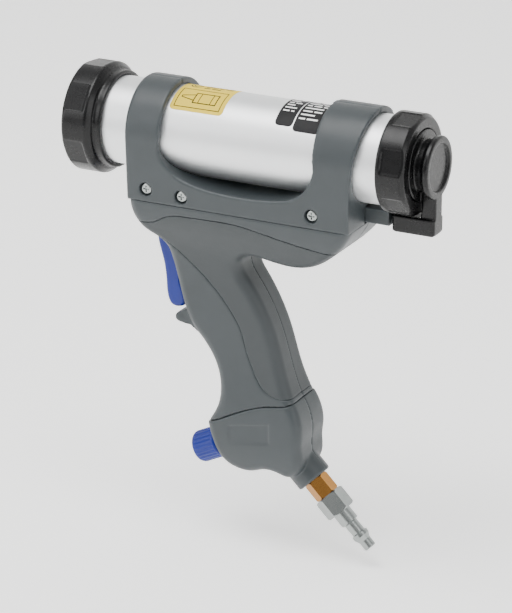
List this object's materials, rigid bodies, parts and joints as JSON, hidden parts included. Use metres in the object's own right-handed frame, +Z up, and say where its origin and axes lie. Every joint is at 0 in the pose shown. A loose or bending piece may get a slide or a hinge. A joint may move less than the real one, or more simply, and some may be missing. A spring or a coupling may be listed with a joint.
{
  "type": "pneumatic caulking gun",
  "caption": "Hand-held air-powered gun for sealant cartridges: aluminium barrel with screw caps in a moulded saddle, trigger valve in the grip, pressure regulator and air plug in the base.",
  "frame": {"origin": "centre of the nozzle hole in the front cap's outer face", "axes": "+X along the barrel towards the rear, +Z up, -Y the tool's left side"},
  "size_m": [0.2363, 0.069, 0.2894],
  "materials": {
    "body_plastic": "blue-grey glass-filled nylon, fine spark-eroded texture",
    "grip_rubber": "blue-grey thermoplastic rubber, satin",
    "cap_plastic": "black moulded nylon, semi-gloss",
    "blue_plastic": "bright blue acetal, semi-gloss",
    "barrel_aluminium": "satin anodised extruded tube",
    "duct_plastic": "grey moulded nylon",
    "zinc_steel": "bright zinc-plated steel",
    "plain_steel": "ground steel",
    "brass": "turned brass",
    "inner_metal": "machined aluminium",
    "seal_rubber": "black nitrile rubber",
    "hose_plastic": "black polyurethane tube",
    "sinter": "sintered bronze, coarse",
    "washer_plastic": "natural acetal",
    "label_yellow": "printed vinyl label, yellow",
    "label_black": "printed vinyl label, black and silver"
  },
  "bodies": {
    "gun_frame": {"barrel_tube": "barrel_aluminium", "instruction_label": "label_yellow", "rating_label": "label_black", "saddle_left": "body_plastic", "saddle_right": "body_plastic", "saddle_screws": "zinc_steel", "air_duct": "duct_plastic", "handle_left": "body_plastic", "handle_right": "body_plastic", "grip_left": "grip_rubber", "grip_right": "grip_rubber", "handle_screws": "zinc_steel", "trigger_pin": "plain_steel", "valve_body": "inner_metal", "valve_end_cap": "inner_metal", "exhaust_silencer": "sinter", "delivery_hose": "hose_plastic", "supply_hose": "hose_plastic", "base_left": "body_plastic", "base_right": "body_plastic", "base_screws": "zinc_steel", "regulator_body": "inner_metal", "regulator_end_plug": "brass", "poppet": "brass", "poppet_spring": "plain_steel", "diaphragm": "seal_rubber", "regulator_bonnet": "inner_metal", "inlet_fitting": "brass", "inlet_filter": "sinter", "coupling_plug": "zinc_steel"},
    "trigger": {"trigger": "blue_plastic"},
    "valve_stem": {"valve_stem": "plain_steel", "valve_spring": "plain_steel"},
    "front_washer": {"front_thrust_washer": "washer_plastic"},
    "front_cap": {"front_cap": "cap_plastic"},
    "rear_elbow": {"rear_air_elbow": "cap_plastic", "barrel_end_seal": "seal_rubber", "spigot_o_ring": "seal_rubber"},
    "rear_ring": {"rear_ring_nut": "cap_plastic"},
    "pressure_knob": {"pressure_knob": "blue_plastic", "adjusting_screw": "zinc_steel"},
    "spring_plate": {"spring_plate": "plain_steel", "regulator_spring": "plain_steel"}
  },
  "joints": [
    {"name": "trigger_pull", "type": "hinge", "parent": "gun_frame", "child": "trigger", "pos_m": [0.062, 0, -0.06], "axis": [0, -1, 0], "range_deg": [0, 9], "stiffness_Nm_per_rad": 1.2, "springref_deg": -5.73},
    {"name": "valve_slide", "type": "slide", "parent": "gun_frame", "child": "valve_stem", "axis": [1, 0, 0], "range_m": [0, 0.0042], "deforming": ["valve_spring"]},
    {"name": "front_thread_travel", "type": "slide", "parent": "gun_frame", "child": "front_washer", "axis": [-1, 0, 0], "range_m": [0, 0.0122]},
    {"name": "front_cap_turn", "type": "hinge", "parent": "front_washer", "child": "front_cap", "pos_m": [0, 0, 0], "axis": [-1, 0, 0], "range_deg": [0, 720]},
    {"name": "rear_thread_travel", "type": "slide", "parent": "gun_frame", "child": "rear_elbow", "axis": [1, 0, 0], "range_m": [0, 0.0122]},
    {"name": "rear_ring_turn", "type": "hinge", "parent": "rear_elbow", "child": "rear_ring", "pos_m": [0.22, 0, 0], "axis": [1, 0, 0], "range_deg": [0, 720]},
    {"name": "pressure_turn", "type": "hinge", "parent": "gun_frame", "child": "pressure_knob", "pos_m": [0.1155, 0, -0.1892], "axis": [0.8988, 0, 0.4384], "range_deg": [0, 900]},
    {"name": "spring_plate_slide", "type": "slide", "parent": "gun_frame", "child": "spring_plate", "axis": [0.8988, 0, 0.4384], "range_m": [0, 0.0032], "deforming": ["regulator_spring"]}
  ],
  "couplings": [
    {"joint": "valve_slide", "follows": "trigger_pull", "m_per_rad": 0.026},
    {"joint": "front_thread_travel", "follows": "front_cap_turn", "m_per_rad": 0.00095493},
    {"joint": "rear_thread_travel", "follows": "rear_ring_turn", "m_per_rad": 0.00095493},
    {"joint": "spring_plate_slide", "follows": "pressure_turn", "m_per_rad": 0.00019894}
  ]
}
